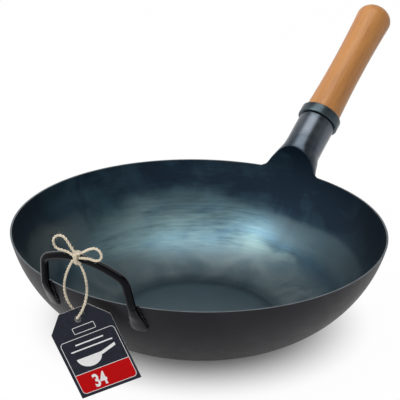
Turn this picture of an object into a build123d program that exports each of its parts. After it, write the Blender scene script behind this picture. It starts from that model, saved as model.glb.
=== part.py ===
from build123d import *
import math
import os

# Round-sided wok pressed from one steel plate. The plate runs on over the rim as a tongue and is
# rolled into a tube there, which takes a screw-in wooden grip. A welded rod loop is the second
# handle, and a card tag is tied to it with twine.
# Millimetres, +Z up, +X towards the long handle. The origin is the middle of the flat base.

# Bowl
rim_radius = 170.0
bowl_height = 88.5
base_radius = 73.0
wall_curve = 119.0
plate = 1.6
knuckle = 16.0
dish_reach = 35.0

# Rolled socket, which rises from the rim along the handle's line
handle_rise = 34.4
root_lift = 1.1
socket_radius = 18.3
socket_length = 59.0
seam_start = 38.0
lip_crown = 5.4
lip_foot = 1.2
cut_overrun = 40.0
flare_station_shares = (-0.50, -0.22, -0.05, 0.28, 0.67, 1.10, 1.45, 1.75, 2.0)
flare_width_shares = (2.08, 1.72, 1.46, 1.325, 1.205, 1.055, 1.01, 1.0, 1.0)
seam_bead_width = 3.6
seam_bead_height = 0.9

# Threaded plug in the socket, and the bead that holds it
stud_radius = 6.0
thread_clearance = 0.05
weld_gap = 0.05
plug_start = 44.0
plug_length = 10.5
plug_bead = 2.0

# Grip: steel collar, turned wood and the stud set in it
seat_gap = 0.4
collar_radius = 20.7
collar_length = 10.2
collar_floor = 2.4
collar_wall = 3.9
collar_round = 0.8
collar_stud_clearance = 0.1
tenon_clearance = 0.1
tenon_gap = 0.2
shoulder_gap = 0.05
grip_length = 141.4
grip_neck_radius = 17.8
grip_waist_radius = 16.2
grip_head_radius = 17.8
grip_dome = 14.5
stud_tip = 3.0
stud_depth = 44.0
stud_chamfer = 1.2

# Rod loop of the second handle
rod_radius = 3.6
rod_stand = 0.1
loop_turn = -1.4
loop_rise = 78.0
loop_foot_half = 44.7
loop_corner_half = 41.3
loop_leg = 25.7
loop_bow = 10.2
loop_corner_round = 9.0
paddle_length = 25.0
paddle_splay = 0.13
paddle_half_width = 6.5
paddle_half_thickness = 1.5
paddle_gap = 0.1
paddle_station_shares = (0.26, 0.55, 0.80, 1.0)
paddle_width_shares = (0.70, 0.92, 1.0, 0.86)
paddle_thickness_shares = (1.95, 1.35, 1.05, 0.85)
bead_size = 2.6
bead_gap = 0.3
bead_station_shares = (0.34, 0.55, 0.8, 1.0)
bead_section_shares = ((0, 0), (1.15, 0), (1.05, 0.4), (0.65, 0.85), (0, 1))

# Card tag, standing on one corner under the rod loop
card_width = 57.0
card_height = 74.6
card_corner = 14.4
card_thickness = 0.8
card_heading = -71.5
card_lean = 5.0
card_tilt = 28.0
card_foot = (-185.3, -2.3, 0.5)
card_hole_radius = 2.8
card_hole_inset = 9.2

# Twine
twine_radius = 1.15
knot_place_share = 0.55
knot_clearance = 0.3
knot_bore_clearance = 0.22
knot_lump_radius = 3.7
knot_lump_half_height = 4.8
knot_lump_place = (-4.0, -0.9, 2.8)
knot_lump_shares = ((0, -1), (0.62, -0.78), (1, -0.2), (1, 0.2), (0.62, 0.78), (0, 1))
knot_turn_gap_share = 0.95
rope_sides = 8
bend_share = 0.45

# The twine's route, chosen by hand: down behind the card, through its hole and up in front
hanger_route = (
    (-180.7, 10.2, 123.2),
    (-180.9, 14.4, 115.6),
    (-180.8, 18.0, 106.0),
    (-180.8, 19.4, 96.0),
    (-180.2, 17.6, 86.6),
    (-179.3, 13.4, 79.6),
    (-178.9, 9.3, 75.6),
    (-179.2, 6.0, 72.3),
    (-183.9, 4.4, 72.7),
    (-184.6, 1.5, 76.8),
    (-184.4, -2.2, 83.0),
    (-183.6, -5.0, 92.4),
    (-182.4, -5.6, 102.6),
    (-181.2, -2.6, 112.8),
    (-180.7, 1.4, 119.6),
    (-180.7, 4.6, 123.4),
)
left_bow_route = (
    (-179.6, 8.6, 129.3),
    (-180.2, 12.6, 134.8),
    (-180.8, 18.4, 142.6),
    (-181.0, 25.2, 142.4),
    (-180.6, 30.6, 137.0),
    (-180.2, 28.0, 129.2),
    (-180.0, 19.8, 129.6),
    (-179.6, 13.4, 128.4),
    (-179.2, 9.8, 126.2),
)
right_bow_route = (
    (-179.8, 5.6, 129.6),
    (-180.2, 0.2, 132.6),
    (-180.8, -6.5, 137.6),
    (-181.0, -13.4, 140.2),
    (-180.8, -18.8, 136.6),
    (-180.4, -17.8, 130.4),
    (-180.2, -11.6, 127.7),
    (-180.2, -4.4, 128.8),
    (-179.8, 4.8, 126.2),
)


def polar(radius, degrees):
    """Point of a circle in the ground plane."""
    angle = math.radians(degrees)
    return Vector(radius * math.cos(angle), radius * math.sin(angle), 0)


# The outer wall is one arc from the base's edge to the rim; this finds its centre.
wall_run = rim_radius - base_radius
wall_chord = math.hypot(wall_run, bowl_height)
wall_reach = math.sqrt(wall_curve**2 - (wall_chord / 2) ** 2)
curve_x = (rim_radius + base_radius) / 2 - wall_reach * bowl_height / wall_chord
curve_z = bowl_height / 2 + wall_reach * wall_run / wall_chord


def wall_radius(height, inset=0.0):
    """Distance of the outer wall, or of a skin inside it, from the bowl's axis."""
    return curve_x + math.sqrt((wall_curve - inset) ** 2 - (height - curve_z) ** 2)


def draw_inside_wall(inset, low, high):
    """Draw the half section of what lies inside the wall, or inside a skin within it."""
    foot = wall_radius(low, inset)
    top = wall_radius(high, inset)
    middle = (low + high) / 2
    Line((0, high), (0, low))
    Line((0, low), (foot, low))
    ThreePointArc((foot, low), (wall_radius(middle, inset), middle), (top, high))
    Line((top, high), (0, high))


# Handle line: a plane across it at any station, and the side plane that holds it.
rise = math.radians(handle_rise)
handle_root = Vector(rim_radius, 0, bowl_height + root_lift)
handle_run = Vector(math.cos(rise), 0, math.sin(rise))
handle_up = Vector(-math.sin(rise), 0, math.cos(rise))
handle_axis = Axis(handle_root, handle_run)
handle_side = Plane(origin=handle_root, x_dir=handle_run, z_dir=(0, -1, 0))


def across_handle(station):
    """Plane square to the handle at a distance from the rim, with local X across the wok."""
    return Plane(origin=handle_root + handle_run * station, x_dir=(0, 1, 0), z_dir=handle_run)


# Full width of the socket: wide where it leaves the rim, round where it is a tube.
flare = [
    (along * socket_radius, wide * socket_radius)
    for along, wide in zip(flare_station_shares, flare_width_shares)
]


def socket_body(inset, overrun):
    """Filled socket, drawn in evenly by a skin's thickness: flared root, then a straight tube."""
    with BuildPart() as body:
        for place, (station, half_width) in enumerate(flare):
            before = flare[max(place - 1, 0)]
            after = flare[min(place + 1, len(flare) - 1)]
            slope = (after[1] - before[1]) / (after[0] - before[0])
            skin = inset * math.sqrt(1 + slope**2)
            with BuildSketch(across_handle(station)):
                Ellipse(half_width - skin, socket_radius - inset)
        loft()
        tube_start = flare[-1][0]
        with BuildSketch(across_handle(tube_start)):
            Circle(socket_radius - inset)
        extrude(amount=socket_length + overrun - tube_start)
    return body.part


# Everything inside the wall's outer face, up to the rim
with BuildPart() as bowl_blank:
    with BuildSketch(Plane.XZ) as bowl_section:
        with BuildLine():
            draw_inside_wall(0, 0, bowl_height)
        make_face()
        fillet(bowl_section.vertices().sort_by_distance((base_radius, 0, 0))[0], knuckle)
    revolve(axis=Axis.Z)

# The space in the bowl, carried on upwards past the rim: it hollows the bowl and, in one curve
# with it, the inner face of the tongue.
with BuildPart() as bowl_space:
    with BuildSketch(Plane.XZ) as space_section:
        with BuildLine():
            draw_inside_wall(plate, plate, bowl_height + dish_reach)
        make_face()
        inner_corner = (wall_radius(plate, plate), 0, plate)
        fillet(space_section.vertices().sort_by_distance(inner_corner)[0], knuckle - plate)
    revolve(axis=Axis.Z)

with BuildPart() as tongue_back:
    with BuildSketch(Plane.XZ):
        with BuildLine():
            draw_inside_wall(0, 0, bowl_height + dish_reach)
        make_face()
    revolve(axis=Axis.Z)

# The plate's two lips run from the rim's corners to the start of the seam under the tube.
seam_point = handle_root + handle_run * seam_start - handle_up * socket_radius
lip_start = Vector(rim_radius + lip_foot, 0, bowl_height)
lip_middle = (lip_start + seam_point) * 0.5 + Vector(0, 0, lip_crown)
with BuildPart() as under_lips:
    with BuildSketch(Plane.XZ):
        with BuildLine():
            ThreePointArc(
                (lip_start.X, lip_start.Z), (lip_middle.X, lip_middle.Z), (seam_point.X, seam_point.Z)
            )
            Polyline(
                (seam_point.X, seam_point.Z),
                (seam_point.X, bowl_height - cut_overrun),
                (rim_radius - cut_overrun, bowl_height - cut_overrun),
                (rim_radius - cut_overrun, bowl_height),
                (lip_start.X, lip_start.Z),
            )
        make_face()
    extrude(amount=cut_overrun, both=True)

# Hollow of the rolled tube and of the fold behind the tongue
with BuildPart() as socket_hollow:
    add(socket_body(plate, plate))
    add(tongue_back.part, mode=Mode.SUBTRACT)
    with BuildSketch(Plane.XY.offset(bowl_height)):
        Rectangle(4 * rim_radius, 4 * rim_radius)
    extrude(amount=-2 * cut_overrun, mode=Mode.SUBTRACT)

with BuildPart() as pan:
    add(socket_body(0, 0))
    add(under_lips.part, mode=Mode.SUBTRACT)
    add(bowl_blank.part)
    add(bowl_space.part, mode=Mode.SUBTRACT)
    add(socket_hollow.part, mode=Mode.SUBTRACT)

with BuildPart() as seam_weld:
    with BuildSketch(across_handle(seam_start + seam_bead_width / 2)):
        with Locations((0, -socket_radius)):
            Ellipse(seam_bead_width / 2, seam_bead_height)
        Circle(socket_radius, mode=Mode.SUBTRACT)
    extrude(amount=socket_length - seam_start - seam_bead_width)

# Round plug with the thread, and the bead round its outer edge
plug_end = plug_start + plug_length
bore_radius = socket_radius - plate
with BuildPart() as socket_plug:
    with BuildSketch(across_handle(plug_start)):
        Circle(bore_radius - weld_gap)
        Circle(stud_radius + thread_clearance, mode=Mode.SUBTRACT)
    extrude(amount=plug_length)

with BuildPart() as plug_weld:
    with BuildSketch(handle_side):
        with BuildLine():
            Polyline(
                (plug_end, bore_radius - plug_bead),
                (plug_end + plug_bead, bore_radius),
                (plug_end, bore_radius),
                close=True,
            )
        make_face()
    revolve(axis=handle_axis)

# Collar: a cup that caps the tube and holds the wood's tenon
collar_start = socket_length + seat_gap
collar_end = collar_start + collar_length
cup_radius = collar_radius - collar_wall
cup_floor = collar_start + collar_floor
with BuildPart() as grip_collar:
    with BuildSketch(handle_side) as collar_section:
        with BuildLine():
            Polyline(
                (collar_start, stud_radius + collar_stud_clearance),
                (collar_start, collar_radius),
                (collar_end, collar_radius),
                (collar_end, cup_radius),
                (cup_floor, cup_radius),
                (cup_floor, stud_radius + collar_stud_clearance),
                close=True,
            )
        make_face()
        rim_corners = [
            corner
            for corner in collar_section.vertices()
            if abs(handle_side.to_local_coords(corner.center()).Y - collar_radius) < weld_gap
        ]
        fillet(rim_corners, collar_round)
    revolve(axis=handle_axis)

# Wooden grip, waisted along its length and domed at the end
shoulder = collar_end + shoulder_gap
grip_end = collar_end + grip_length
dome_start = grip_end - grip_dome
tenon_radius = cup_radius - tenon_clearance
tenon_start = cup_floor + tenon_gap
stud_hole = stud_radius + thread_clearance
stud_stop = tenon_start + stud_depth
with BuildPart() as grip:
    with BuildSketch(handle_side):
        with BuildLine():
            Polyline(
                (grip_end, 0),
                (stud_stop + stud_chamfer, 0),
                (stud_stop + stud_chamfer, stud_hole),
                (tenon_start, stud_hole),
                (tenon_start, tenon_radius),
                (shoulder, tenon_radius),
                (shoulder, grip_neck_radius),
            )
            ThreePointArc(
                (shoulder, grip_neck_radius),
                ((shoulder + dome_start) / 2, grip_waist_radius),
                (dome_start, grip_head_radius),
            )
            EllipticalCenterArc((dome_start, 0), grip_dome, grip_head_radius, arc_size=90)
        make_face()
    revolve(axis=handle_axis)

with BuildPart() as grip_stud:
    with BuildSketch(across_handle(plug_start - stud_tip)):
        Circle(stud_radius)
    extrude(amount=stud_stop - plug_start + stud_tip)
    chamfer(grip_stud.edges().filter_by(GeomType.CIRCLE), stud_chamfer)

def bend_radii(route):
    """Largest even radius at each corner that the runs beside it leave room for."""
    radii = []
    for before, corner, after in zip(route, route[1:], route[2:]):
        arriving = corner - before
        leaving = after - corner
        half_turn = math.radians(arriving.get_angle(leaving)) / 2
        shorter = min(arriving.length, leaving.length)
        radii.append(bend_share * shorter / math.tan(half_turn))
    return radii


def bent_rope(route, radius):
    """Many-sided tube along straight runs joined by arcs, with its bend radii and length."""
    places = [Vector(*place) for place in route]
    radii = bend_radii(places)
    with BuildPart() as rope:
        with BuildLine() as path:
            FilletPolyline(*places, radius=radii)
        with BuildSketch(Plane(origin=path.line @ 0, z_dir=path.line % 0)):
            RegularPolygon(radius, rope_sides)
        sweep(path=path.line)
    return rope.part, radii, sum(edge.length for edge in path.line.edges())


# Rod loop: the plane of its bow leans out over the rim
loop_out = polar(1, 180 + loop_turn)
loop_across = loop_out.cross(Vector(0, 0, 1))
lean = math.radians(loop_rise)
loop_up = loop_out * math.cos(lean) + Vector(0, 0, math.sin(lean))
stand_radius = rim_radius + rod_radius + rod_stand
loop_origin = loop_out * math.sqrt(stand_radius**2 - loop_foot_half**2) + Vector(0, 0, bowl_height)
loop_plane = Plane(origin=loop_origin, x_dir=loop_across, z_dir=loop_across.cross(loop_up))

paddle_shares = tuple(zip(paddle_station_shares, paddle_width_shares, paddle_thickness_shares))


def wall_plane(side, distance, lift):
    """Plane across a leg's run down the wall, with local X along the rim and Y off the wall."""
    turn = math.asin((bowl_height - curve_z) / wall_curve) - distance / wall_curve
    spread = math.asin(loop_foot_half / stand_radius) + paddle_splay * distance / stand_radius
    heading = 180 + loop_turn - side * math.degrees(spread)
    outward = polar(1, heading)
    along_rim = polar(1, heading - 90)
    normal = outward * math.cos(turn) + Vector(0, 0, math.sin(turn))
    down = outward * math.sin(turn) - Vector(0, 0, math.cos(turn)) + along_rim * side * paddle_splay
    foot = outward * (curve_x + wall_curve * math.cos(turn))
    height = Vector(0, 0, curve_z + wall_curve * math.sin(turn))
    return Plane(origin=foot + height + normal * lift, x_dir=-along_rim, z_dir=down), normal


def paddle_section(side, shares):
    """Plane, half width and half thickness of one section of a paddle."""
    station_share, width_share, thickness_share = shares
    half_thickness = paddle_half_thickness * thickness_share
    plane, _ = wall_plane(side, paddle_length * station_share, half_thickness + paddle_gap)
    return plane, paddle_half_width * width_share, half_thickness


with BuildPart() as helper_handle:
    with BuildLine(loop_plane) as rod_line:
        Line((-loop_foot_half, 0), (-loop_corner_half, loop_leg))
        bow = ThreePointArc(
            (-loop_corner_half, loop_leg), (0, loop_leg + loop_bow), (loop_corner_half, loop_leg)
        )
        Line((loop_corner_half, loop_leg), (loop_foot_half, 0))
        loop_corners = rod_line.vertices().group_by(Axis.Z)[-1]
        fillet(loop_corners, loop_corner_round)
    with BuildSketch(Plane(origin=rod_line.line @ 0, z_dir=rod_line.line % 0)):
        Circle(rod_radius)
    sweep(path=rod_line.line)

    # Each leg ends in a paddle, hammered flat and laid on the wall.
    for side in (-1, 1):
        leg_foot = loop_origin + loop_across * (side * loop_foot_half)
        leg_corner = loop_origin + loop_across * (side * loop_corner_half) + loop_up * loop_leg
        sections = [paddle_section(side, share) for share in paddle_shares]
        first = Plane(origin=leg_foot, x_dir=sections[0][0].x_dir, z_dir=leg_foot - leg_corner)
        with BuildSketch(first):
            Circle(rod_radius)
        for plane, half_width, half_thickness in sections:
            with BuildSketch(plane):
                Ellipse(half_width, half_thickness)
        loft()


def bead_line(share):
    """Half width of the paddle at a share of its length."""
    for near, far in zip(paddle_shares, paddle_shares[1:]):
        if share <= far[0]:
            part_way = max(0, (share - near[0]) / (far[0] - near[0]))
            return paddle_half_width * (near[1] + (far[1] - near[1]) * part_way)
    return paddle_half_width * paddle_width_shares[-1]


def weld_beads(side):
    """Two beads, one down each edge of a paddle, laid on the wall and just clear of it."""
    with BuildPart() as beads:
        for edge in (-1, 1):
            for share in bead_station_shares:
                plane, _ = wall_plane(side, paddle_length * share, weld_gap)
                inner_edge = bead_line(share) + bead_gap
                with BuildSketch(plane):
                    with BuildLine():
                        Polyline(
                            *[
                                (edge * (inner_edge + across * bead_size), up * bead_size)
                                for across, up in bead_section_shares
                            ],
                            close=True,
                        )
                    make_face()
            loft(ruled=True)
    return beads.part


helper_weld_left = weld_beads(1)
helper_weld_right = weld_beads(-1)

# Card tag: its plane turns about the upright, leans back and tilts in its own face
card_along = polar(1, card_heading)
card_back = polar(1, card_heading + 90)
leaned = math.radians(card_lean)
card_rise = card_back * math.sin(leaned) + Vector(0, 0, math.cos(leaned))
tilted = math.radians(card_tilt)
card_base = card_along * math.cos(tilted) + card_rise * math.sin(tilted)
card_plane = Plane(origin=card_foot, x_dir=card_base, z_dir=card_along.cross(card_rise))
with BuildPart() as tag_card:
    with BuildSketch(card_plane):
        with BuildLine():
            Polyline(
                (0, 0),
                (card_width, 0),
                (card_width, card_height - card_corner),
                (card_width - card_corner, card_height),
                (card_corner, card_height),
                (0, card_height - card_corner),
                close=True,
            )
        make_face()
        with Locations((card_width / 2, card_height - card_hole_inset)):
            Circle(card_hole_radius, mode=Mode.SUBTRACT)
    extrude(amount=card_thickness)

# Knot: two turns round the rod and a lump in front of them, clear of the rod
knot_seat = bow @ knot_place_share
knot_line = bow % knot_place_share
turn_radius = rod_radius + knot_clearance + twine_radius
knot_side = Plane(origin=knot_seat, x_dir=knot_line, z_dir=knot_line.cross(Vector(0, 0, 1)))
with BuildPart() as twine_knot:
    with BuildSketch(knot_side):
        with Locations(
            (-twine_radius * knot_turn_gap_share, turn_radius),
            (twine_radius * knot_turn_gap_share, turn_radius),
        ):
            RegularPolygon(twine_radius, rope_sides)
    revolve(axis=Axis(knot_seat, knot_line))
    lump_centre = knot_seat + Vector(*knot_lump_place)
    with BuildSketch(Plane(origin=lump_centre, x_dir=(1, 0, 0), z_dir=(0, -1, 0))):
        with BuildLine():
            Polyline(
                *[
                    (across * knot_lump_radius, along * knot_lump_half_height)
                    for across, along in knot_lump_shares
                ],
                close=True,
            )
        make_face()
    revolve(axis=Axis(lump_centre, (0, 0, 1)))
    with BuildSketch(Plane(origin=knot_seat - knot_line * turn_radius, z_dir=knot_line)):
        Circle(rod_radius + knot_bore_clearance)
    extrude(amount=2 * turn_radius, mode=Mode.SUBTRACT)


def twine(route, title):
    """Length of twine along its route, with its bend radii and its volume printed."""
    strand, radii, length = bent_rope(route, twine_radius)
    section = rope_sides / 2 * twine_radius**2 * math.sin(2 * math.pi / rope_sides)
    fill = strand.volume / (section * length)
    print(title, "bend radii", [round(radius, 1) for radius in radii])
    print(title, "length", round(length, 1), "volume over section times length", round(fill, 4))
    return strand


twine_hanger = twine(hanger_route, "twine_hanger")
twine_bow_left = twine(left_bow_route, "twine_bow_left")
twine_bow_right = twine(right_bow_route, "twine_bow_right")

pieces = {
    "pan": pan.part,
    "seam_weld": seam_weld.part,
    "socket_plug": socket_plug.part,
    "plug_weld": plug_weld.part,
    "grip_collar": grip_collar.part,
    "grip": grip.part,
    "grip_stud": grip_stud.part,
    "helper_handle": helper_handle.part,
    "helper_weld_left": helper_weld_left,
    "helper_weld_right": helper_weld_right,
    "tag_card": tag_card.part,
    "twine_knot": twine_knot.part,
    "twine_hanger": twine_hanger,
    "twine_bow_left": twine_bow_left,
    "twine_bow_right": twine_bow_right,
}
os.makedirs("parts", exist_ok=True)
for name, piece in pieces.items():
    piece.label = name
    export_step(piece, f"parts/{name}.step")
print("handle line", handle_root, handle_run)
print("knot seat", knot_seat, "line", knot_line)
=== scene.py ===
import math
from functools import partialmethod

import bmesh
import bpy
from mathutils import Matrix, Vector


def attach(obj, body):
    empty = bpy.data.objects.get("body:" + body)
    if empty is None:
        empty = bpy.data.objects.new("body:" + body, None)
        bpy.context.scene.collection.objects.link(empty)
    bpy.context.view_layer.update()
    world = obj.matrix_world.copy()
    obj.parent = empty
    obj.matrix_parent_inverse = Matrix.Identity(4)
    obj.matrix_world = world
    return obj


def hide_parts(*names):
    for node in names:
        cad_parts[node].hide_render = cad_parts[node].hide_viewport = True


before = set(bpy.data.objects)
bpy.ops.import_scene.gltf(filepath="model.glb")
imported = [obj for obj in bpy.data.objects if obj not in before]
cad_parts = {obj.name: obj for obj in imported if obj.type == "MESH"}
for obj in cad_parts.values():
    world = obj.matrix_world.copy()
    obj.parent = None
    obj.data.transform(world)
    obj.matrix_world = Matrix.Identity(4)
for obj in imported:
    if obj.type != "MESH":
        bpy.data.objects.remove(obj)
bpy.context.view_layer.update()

bl_info = {
    "name": "Blued steel wok",
    "version": (1, 0, 0),
    "blender": (4, 5, 0),
    "location": "View3D > Sidebar > Wok",
    "description": "Dresses the wok's frame with its pan, handles, card and twine",
    "category": "Object",
}

MM = 0.001
ROUND_STEPS = 256
GRIP_STEPS = 128
UP = Vector((0, 0, 1))
WHITE = (1.0, 1.0, 1.0, 1.0)


def length(label, millimetres, about):
    """Property for a length, kept in metres."""
    return bpy.props.FloatProperty(
        name=label, description=about, default=millimetres * MM, unit="LENGTH", precision=5
    )


def colour(label, value, about):
    """Property for a colour, as linear red, green and blue."""
    return bpy.props.FloatVectorProperty(
        name=label, description=about, default=value, subtype="COLOR", size=3, min=0, max=1
    )


def angle(label, degrees, about):
    """Property for an angle, kept in radians."""
    return bpy.props.FloatProperty(
        name=label, description=about, default=math.radians(degrees), subtype="ANGLE"
    )


class WokPanSizes(bpy.types.PropertyGroup):
    """Sizes of the pan and its rolled socket."""

    rim_radius: length("Rim radius", 170, "Half the width of the wok over its rim")
    height: length("Height", 88.5, "Height of the rim above the flat base")
    base_radius: length("Base radius", 73, "Half the width of the flat base")
    wall_curve: length("Wall curve", 119, "Radius of the wall's arc from base to rim")
    plate: length("Plate", 1.6, "Thickness of the steel plate")
    knuckle: length("Knuckle", 16, "Radius where the wall leaves the flat base")
    root_up: length("Root lift", 1.1, "Height of the handle's line above the rim, at the rim")
    rise: angle("Handle rise", 34.4, "Slope of the long handle")
    tube_radius: length("Tube radius", 18.3, "Outer radius of the rolled socket")
    tube_length: length("Tube length", 59, "Socket's length from the rim along the handle")
    seam_start: length("Seam start", 38, "Where the seam under the tube starts")


class WokGripSizes(bpy.types.PropertyGroup):
    """Sizes of the collar and the wooden grip."""

    collar_start: length("Collar start", 59.4, "Where the collar starts along the handle")
    collar_length: length("Collar length", 10.2, "Length of the collar")
    collar_radius: length("Collar radius", 20.7, "Outer radius of the collar")
    grip_length: length("Grip length", 141.4, "Length of the wood outside the collar")
    neck: length("Neck radius", 17.8, "Radius of the wood beside the collar")
    waist: length("Waist radius", 16.2, "Smallest radius of the wood")
    head: length("Head radius", 17.8, "Radius of the wood where its dome starts")
    dome: length("Dome", 14.5, "Length of the domed end")


class WokLoopSizes(bpy.types.PropertyGroup):
    """Sizes of the welded rod loop."""

    rod_radius: length("Rod radius", 3.6, "Radius of the rod")
    turn: angle("Turn", -1.4, "Turn of the loop about the wok's axis")
    rise: angle("Rise", 78, "Slope of the loop's plane")
    foot_half: length("Foot half width", 44.7, "Half the distance between the feet")
    corner_half: length("Corner half width", 41.3, "Half the distance between the corners")
    leg: length("Leg", 25.7, "Height of the corners above the rim, in the loop's plane")
    bow: length("Bow", 10.2, "Rise of the bar's middle above its corners")
    corner_round: length("Corner round", 9, "Radius of the loop's corners")
    paddle_length: length("Paddle length", 25, "Length of a hammered end down the wall")
    paddle_half_width: length("Paddle half width", 6.5, "Half the width of a hammered end")
    paddle_half_thickness: length("Paddle half thickness", 1.5, "Half its thickness")


class WokTagSizes(bpy.types.PropertyGroup):
    """Sizes of the card and its twine."""

    width: length("Width", 57, "Width of the card")
    height: length("Height", 74.6, "Height of the card")
    corner: length("Cut corner", 14.4, "Length cut off each upper corner")
    thickness: length("Thickness", 0.8, "Thickness of the card")
    heading: angle("Heading", -71.5, "Direction of the card's foot line on the ground")
    lean: angle("Lean", 5, "How far the card leans back")
    tilt: angle("Tilt", 28, "Turn of the card in its own face")
    hole: length("Hole radius", 2.8, "Radius of the hole for the twine")
    hole_inset: length("Hole inset", 9.2, "Distance of the hole from the upper edge")
    twine_radius: length("Twine radius", 1.15, "Radius of the twine")
    pitch: length("Lay", 6.0, "Length in which a ply of the twine goes round once")


class WokColours(bpy.types.PropertyGroup):
    """Colours of the finishes."""

    blued_dark: colour("Blued steel, dark", (0.014, 0.026, 0.042), "Inside, near the rim")
    blued_mid: colour("Blued steel, middle", (0.038, 0.080, 0.106), "Inside, over most of it")
    # The pale colour is blueing, and on the far wall a painted highlight as well
    blued_pale_highlight: colour("Blued steel, pale", (0.205, 0.325, 0.350), "Inside, in the pale clouds")
    # Grey of the blueing above the base, also used as a painted sheen on the lower right wall
    blued_grey_and_sheen: colour("Blued steel, grey", (0.120, 0.158, 0.168), "Inside, above the base")
    blued_floor: colour("Blued steel, base", (0.095, 0.135, 0.155), "Inside, on the flat base")
    tube_pale: colour("Socket, pale", (0.110, 0.125, 0.145), "Rubbed parts of the socket")
    outside: colour("Outside steel", (0.022, 0.022, 0.025), "Outside of the bowl")
    rim_edge: colour("Rim edge", (0.085, 0.10, 0.112), "Ground edge of the plate")
    wood_light: colour("Wood, light", (0.50, 0.222, 0.062), "Pale wood between the grain lines")
    wood_dark: colour("Wood, dark", (0.31, 0.112, 0.034), "Grain lines")
    card: colour("Card", (0.013, 0.015, 0.025), "Dark side of the card")
    print_red: colour("Print, red", (0.52, 0.001, 0.002), "Red field of the card")
    print_white: colour("Print, white", (0.85, 0.85, 0.85), "White lines and numbers")
    twine: colour("Twine", (0.80, 0.71, 0.55), "Jute twine")
    blued_blue: colour("Blued steel, blue", (0.060, 0.14, 0.22), "Blue wisps in the pale band")
    blued_warm: colour("Blued steel, warm", (0.24, 0.33, 0.30), "Warm wisps in the pale band")
    tube_dark: colour("Socket, dark", (0.050, 0.064, 0.080), "Socket where it isn't rubbed")
    rod_loop: colour("Rod, loop", (0.0095, 0.0098, 0.0112), "Glossy part of the rod")
    rod_ends: colour("Rod, ends", (0.020, 0.020, 0.023), "Hammered ends")
    rod_worn: colour("Rod, worn", (0.032, 0.032, 0.035), "Rubbed places of the ends")
    collar: colour("Collar", (0.045, 0.060, 0.068), "Steel between socket and wood")
    bare_steel: colour("Bare steel", (0.30, 0.30, 0.31), "Stud and plug")
    weld: colour("Weld", (0.010, 0.0103, 0.012), "Weld beads")
    card_core: colour("Card, core", (0.60, 0.58, 0.56), "Cut edge of the card")


def sizes(group):
    """One of the property groups, as the scene holds it."""
    return getattr(bpy.context.scene, group)


def metres(*millimetres):
    """Lengths in millimetres as a tuple in metres."""
    return tuple(value * MM for value in millimetres)


def level(turn):
    """Level direction at an angle from the x axis."""
    return Vector((math.cos(turn), math.sin(turn), 0))


def shade(tint, factor):
    """Colour made lighter or darker."""
    return tuple(channel * factor for channel in tint)


def linked(name, data):
    """Object in the scene that holds a mesh, curve, lamp or camera."""
    piece = bpy.data.objects.new(name, data)
    bpy.context.scene.collection.objects.link(piece)
    return piece


def plain_mesh(piece):
    """Mesh of an object with its modifiers applied."""
    graph = bpy.context.evaluated_depsgraph_get()
    return bpy.data.meshes.new_from_object(piece.evaluated_get(graph))


# Camera fitted to the photograph: its lens in millimetres, angles in degrees, distance in metres
CAMERA_LENS = 162.0
CAMERA_SENSOR = 36.0
CAMERA_HEADING = -58.5
CAMERA_SLOPE = 22.82
CAMERA_ROLL = 1.165
CAMERA_DISTANCE = 1.6235
CAMERA_FOCUS_PIXELS = 1800.0
PICTURE_MIDDLE = 200.0
RIM_MIDDLE_PIXEL = (199.35, 228.44)

# Edges of the stage, in metres or as shares of the sky's height
FLOOR_HALF = 6.0
SHADOW_FADE = (0.082, 0.165)
HORIZON = (0.0, 0.3)
CEILING = (0.42, 0.85)

# Control points of the twine's smooth lines, and the knot on the rod, in millimetres
TWINE_ROUTES = {
    "twine_hanger": (
        (-180.7, 10.2, 123.2), (-180.9, 14.4, 115.6), (-180.8, 18.0, 106.0), (-180.8, 19.4, 96.0),
        (-180.2, 17.6, 86.6), (-179.3, 13.4, 79.6), (-178.9, 9.3, 75.6), (-179.2, 6.0, 72.3),
        (-183.9, 4.4, 72.7), (-184.6, 1.5, 76.8), (-184.4, -2.2, 83.0), (-183.6, -5.0, 92.4),
        (-182.4, -5.6, 102.6), (-181.2, -2.6, 112.8), (-180.7, 1.4, 119.6), (-180.7, 4.6, 123.4),
    ),
    "twine_bow_left": (
        (-179.6, 8.6, 129.3), (-180.2, 12.6, 134.8), (-180.8, 18.4, 142.6), (-181.0, 25.2, 142.4),
        (-180.6, 30.6, 137.0), (-180.2, 28.0, 129.2), (-180.0, 19.8, 129.6), (-179.6, 13.4, 128.4),
        (-179.2, 9.8, 126.2),
    ),
    "twine_bow_right": (
        (-179.8, 5.6, 129.6), (-180.2, 0.2, 132.6), (-180.8, -6.5, 137.6), (-181.0, -13.4, 140.2),
        (-180.8, -18.8, 136.6), (-180.4, -17.8, 130.4), (-180.2, -11.6, 127.7),
        (-180.2, -4.4, 128.8), (-179.8, 4.8, 126.2),
    ),
}
KNOT_SEAT = (-175.135, 8.576, 123.514)
KNOT_LUMP = (-4.4, -1.0, 2.8)
KNOT_TURNS = 2
KNOT_SPREAD, WRAP_SPREAD = 1.9, 1.5
WRAP_DEPTH, WRAP_HEIGHT = 1.7, 3.2
ROD_DIRECTION = (0.034465, 0.998284, -0.047349)


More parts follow.
